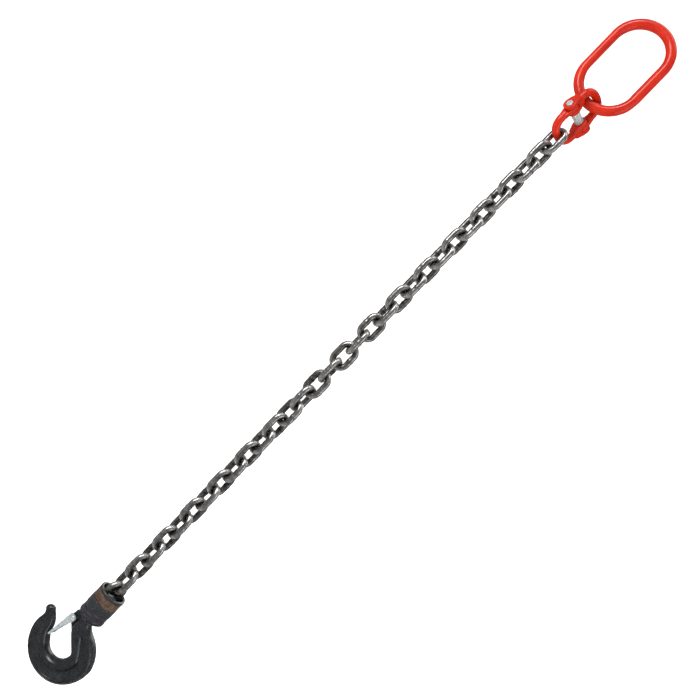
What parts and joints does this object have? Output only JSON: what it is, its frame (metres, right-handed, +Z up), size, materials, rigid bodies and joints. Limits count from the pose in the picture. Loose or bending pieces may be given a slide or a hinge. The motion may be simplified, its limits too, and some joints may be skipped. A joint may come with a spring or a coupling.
{
  "type": "one-leg chain sling with swivel hook",
  "caption": "One-leg lifting chain sling: oval master link, coupling link, short-link chain, barrel swivel and a forged hook with a sprung safety latch.",
  "frame": {"origin": "the inside of the master link's top, where a crane hook carries the sling", "axes": "+Z up along the hanging sling, +X from the hook's tip to its back, the master link and the hook in the XZ plane"},
  "size_m": [0.1227, 0.0614, 1.3565],
  "materials": {
    "red_paint": "glossy red paint over forged steel, worn on the edges",
    "zinc": "bright zinc plating",
    "chain_steel": "tumbled bare steel, oiled, darker in the hollows",
    "black_forging": "black scale and oil, semi-gloss",
    "tinted_steel": "turned steel with heat tint",
    "bright_steel": "ground steel"
  },
  "bodies": {
    "master_link": {"master_link": "red_paint"},
    "coupling_upper": {"coupling_half_upper": "red_paint", "coupling_pin": "zinc", "coupling_bush": "zinc"},
    "coupling_lower": {"coupling_half_lower": "red_paint"},
    "link_01": {"link_01": "chain_steel"},
    "link_02": {"link_02": "chain_steel"},
    "link_03": {"link_03": "chain_steel"},
    "link_04": {"link_04": "chain_steel"},
    "link_05": {"link_05": "chain_steel"},
    "link_06": {"link_06": "chain_steel"},
    "link_07": {"link_07": "chain_steel"},
    "link_08": {"link_08": "chain_steel"},
    "link_09": {"link_09": "chain_steel"},
    "link_10": {"link_10": "chain_steel"},
    "link_11": {"link_11": "chain_steel"},
    "link_12": {"link_12": "chain_steel"},
    "link_13": {"link_13": "chain_steel"},
    "link_14": {"link_14": "chain_steel"},
    "link_15": {"link_15": "chain_steel"},
    "link_16": {"link_16": "chain_steel"},
    "link_17": {"link_17": "chain_steel"},
    "link_18": {"link_18": "chain_steel"},
    "link_19": {"link_19": "chain_steel"},
    "link_20": {"link_20": "chain_steel"},
    "link_21": {"link_21": "chain_steel"},
    "link_22": {"link_22": "chain_steel"},
    "link_23": {"link_23": "chain_steel"},
    "link_24": {"link_24": "chain_steel"},
    "link_25": {"link_25": "chain_steel"},
    "link_26": {"link_26": "chain_steel"},
    "link_27": {"link_27": "chain_steel"},
    "link_28": {"link_28": "chain_steel"},
    "link_29": {"link_29": "chain_steel"},
    "link_30": {"link_30": "chain_steel"},
    "link_31": {"link_31": "chain_steel"},
    "link_32": {"link_32": "chain_steel"},
    "link_33": {"link_33": "chain_steel"},
    "barrel": {"barrel_body": "black_forging", "chain_pin": "bright_steel", "pin_cover_band": "tinted_steel", "bearing_race_lower": "bright_steel"},
    "bearing_cage": {"bearing_cage": "bright_steel"},
    "hook": {"hook_body": "black_forging", "shank_nut": "bright_steel", "nut_lock_pin": "zinc", "bearing_race_upper": "bright_steel", "latch_rivet": "zinc", "latch_spring": "bright_steel"},
    "latch": {"latch": "zinc"}
  },
  "joints": [
    {"name": "coupling_on_master", "type": "hinge", "parent": "master_link", "child": "coupling_upper", "pos_m": [0, 0, -0.143], "axis": [1, 0, 0], "range_deg": [-80, 80]},
    {"name": "coupling_halves", "type": "hinge", "parent": "coupling_upper", "child": "coupling_lower", "pos_m": [0, 0, -0.1687], "axis": [0.5446, 0.8387, 0], "range_deg": [-75, 75]},
    {"name": "link_01_swing", "type": "hinge", "parent": "coupling_lower", "child": "link_01", "pos_m": [0, 0, -0.209], "axis": [-0.5446, -0.8387, 0], "range_deg": [-60, 60]},
    {"name": "link_02_swing", "type": "hinge", "parent": "link_01", "child": "link_02", "pos_m": [0, 0, -0.2377], "axis": [-0.788, 0.6157, 0], "range_deg": [-60, 60]},
    {"name": "link_03_swing", "type": "hinge", "parent": "link_02", "child": "link_03", "pos_m": [0, 0, -0.2677], "axis": [-0.6157, -0.788, 0], "range_deg": [-60, 60]},
    {"name": "link_04_swing", "type": "hinge", "parent": "link_03", "child": "link_04", "pos_m": [0, 0, -0.2977], "axis": [0.788, -0.6157, 0], "range_deg": [-60, 60]},
    {"name": "link_05_swing", "type": "hinge", "parent": "link_04", "child": "link_05", "pos_m": [0, 0, -0.3277], "axis": [0.6157, 0.788, 0], "range_deg": [-60, 60]},
    {"name": "link_06_swing", "type": "hinge", "parent": "link_05", "child": "link_06", "pos_m": [0, 0, -0.3577], "axis": [-0.788, 0.6157, 0], "range_deg": [-60, 60]},
    {"name": "link_07_swing", "type": "hinge", "parent": "link_06", "child": "link_07", "pos_m": [0, 0, -0.3877], "axis": [-0.6157, -0.788, 0], "range_deg": [-60, 60]},
    {"name": "link_08_swing", "type": "hinge", "parent": "link_07", "child": "link_08", "pos_m": [0, 0, -0.4177], "axis": [0.788, -0.6157, 0], "range_deg": [-60, 60]},
    {"name": "link_09_swing", "type": "hinge", "parent": "link_08", "child": "link_09", "pos_m": [0, 0, -0.4477], "axis": [0.6157, 0.788, 0], "range_deg": [-60, 60]},
    {"name": "link_10_swing", "type": "hinge", "parent": "link_09", "child": "link_10", "pos_m": [0, 0, -0.4777], "axis": [-0.788, 0.6157, 0], "range_deg": [-60, 60]},
    {"name": "link_11_swing", "type": "hinge", "parent": "link_10", "child": "link_11", "pos_m": [0, 0, -0.50766], "axis": [-0.6363, -0.7715, 0], "range_deg": [-60, 60]},
    {"name": "link_12_swing", "type": "hinge", "parent": "link_11", "child": "link_12", "pos_m": [0, 0, -0.53755], "axis": [0.7225, -0.6913, 0], "range_deg": [-60, 60]},
    {"name": "link_13_swing", "type": "hinge", "parent": "link_12", "child": "link_13", "pos_m": [0, 0, -0.56738], "axis": [0.7679, 0.6406, 0], "range_deg": [-60, 60]},
    {"name": "link_14_swing", "type": "hinge", "parent": "link_13", "child": "link_14", "pos_m": [0, 0, -0.59716], "axis": [-0.5252, 0.851, 0], "range_deg": [-60, 60]},
    {"name": "link_15_swing", "type": "hinge", "parent": "link_14", "child": "link_15", "pos_m": [0, 0, -0.62691], "axis": [-0.9252, -0.3795, 0], "range_deg": [-60, 60]},
    {"name": "link_16_swing", "type": "hinge", "parent": "link_15", "child": "link_16", "pos_m": [0, 0, -0.65664], "axis": [0.211, -0.9775, 0], "range_deg": [-60, 60]},
    {"name": "link_17_swing", "type": "hinge", "parent": "link_16", "child": "link_17", "pos_m": [0, 0, -0.68636], "axis": [0.9995, 0.0317, 0], "range_deg": [-60, 60]},
    {"name": "link_18_swing", "type": "hinge", "parent": "link_17", "child": "link_18", "pos_m": [0, 0, -0.71609], "axis": [0.1444, 0.9895, 0], "range_deg": [-60, 60]},
    {"name": "link_19_swing", "type": "hinge", "parent": "link_18", "child": "link_19", "pos_m": [0, 0, -0.74584], "axis": [-0.9528, 0.3037, 0], "range_deg": [-60, 60]},
    {"name": "link_20_swing", "type": "hinge", "parent": "link_19", "child": "link_20", "pos_m": [0, 0, -0.77562], "axis": [-0.4358, -0.9001, 0], "range_deg": [-60, 60]},
    {"name": "link_21_swing", "type": "hinge", "parent": "link_20", "child": "link_21", "pos_m": [0, 0, -0.80545], "axis": [0.8456, -0.5338, 0], "range_deg": [-60, 60]},
    {"name": "link_22_swing", "type": "hinge", "parent": "link_21", "child": "link_22", "pos_m": [0, 0, -0.83534], "axis": [0.5946, 0.804, 0], "range_deg": [-60, 60]},
    {"name": "link_23_swing", "type": "hinge", "parent": "link_22", "child": "link_23", "pos_m": [0, 0, -0.8653], "axis": [-0.788, 0.6157, 0], "range_deg": [-60, 60]},
    {"name": "link_24_swing", "type": "hinge", "parent": "link_23", "child": "link_24", "pos_m": [0, 0, -0.8953], "axis": [-0.6157, -0.788, 0], "range_deg": [-60, 60]},
    {"name": "link_25_swing", "type": "hinge", "parent": "link_24", "child": "link_25", "pos_m": [0, 0, -0.9253], "axis": [0.788, -0.6157, 0], "range_deg": [-60, 60]},
    {"name": "link_26_swing", "type": "hinge", "parent": "link_25", "child": "link_26", "pos_m": [0, 0, -0.9553], "axis": [0.6157, 0.788, 0], "range_deg": [-60, 60]},
    {"name": "link_27_swing", "type": "hinge", "parent": "link_26", "child": "link_27", "pos_m": [0, 0, -0.9853], "axis": [-0.788, 0.6157, 0], "range_deg": [-60, 60]},
    {"name": "link_28_swing", "type": "hinge", "parent": "link_27", "child": "link_28", "pos_m": [0, 0, -1.0153], "axis": [-0.6157, -0.788, 0], "range_deg": [-60, 60]},
    {"name": "link_29_swing", "type": "hinge", "parent": "link_28", "child": "link_29", "pos_m": [0, 0, -1.0453], "axis": [0.788, -0.6157, 0], "range_deg": [-60, 60]},
    {"name": "link_30_swing", "type": "hinge", "parent": "link_29", "child": "link_30", "pos_m": [0, 0, -1.0753], "axis": [0.6157, 0.788, 0], "range_deg": [-60, 60]},
    {"name": "link_31_swing", "type": "hinge", "parent": "link_30", "child": "link_31", "pos_m": [0, 0, -1.1053], "axis": [-0.788, 0.6157, 0], "range_deg": [-60, 60]},
    {"name": "link_32_swing", "type": "hinge", "parent": "link_31", "child": "link_32", "pos_m": [0, 0, -1.1353], "axis": [-0.6157, -0.788, 0], "range_deg": [-60, 60]},
    {"name": "link_33_swing", "type": "hinge", "parent": "link_32", "child": "link_33", "pos_m": [0, 0, -1.1653], "axis": [0.788, -0.6157, 0], "range_deg": [-60, 60]},
    {"name": "barrel_swing", "type": "hinge", "parent": "link_33", "child": "barrel", "pos_m": [0, 0, -1.1953], "axis": [0.6157, 0.788, 0], "range_deg": [-10, 10]},
    {"name": "hook_swivel", "type": "hinge", "parent": "barrel", "child": "hook", "pos_m": [0, 0, -1.2245], "axis": [0, 0, 1], "continuous": true},
    {"name": "bearing_cage_turn", "type": "hinge", "parent": "barrel", "child": "bearing_cage", "pos_m": [0, 0, -1.2245], "axis": [0, 0, 1], "continuous": true},
    {"name": "latch_hinge", "type": "hinge", "parent": "hook", "child": "latch", "pos_m": [-0.0172, 0, -1.2437], "axis": [0, -1, 0], "range_deg": [0, 42], "stiffness_Nm_per_rad": 0.06, "springref_deg": -40.11, "deforming": ["latch_spring"]}
  ],
  "couplings": [
    {"joint": "bearing_cage_turn", "follows": "hook_swivel", "ratio": 0.5}
  ]
}
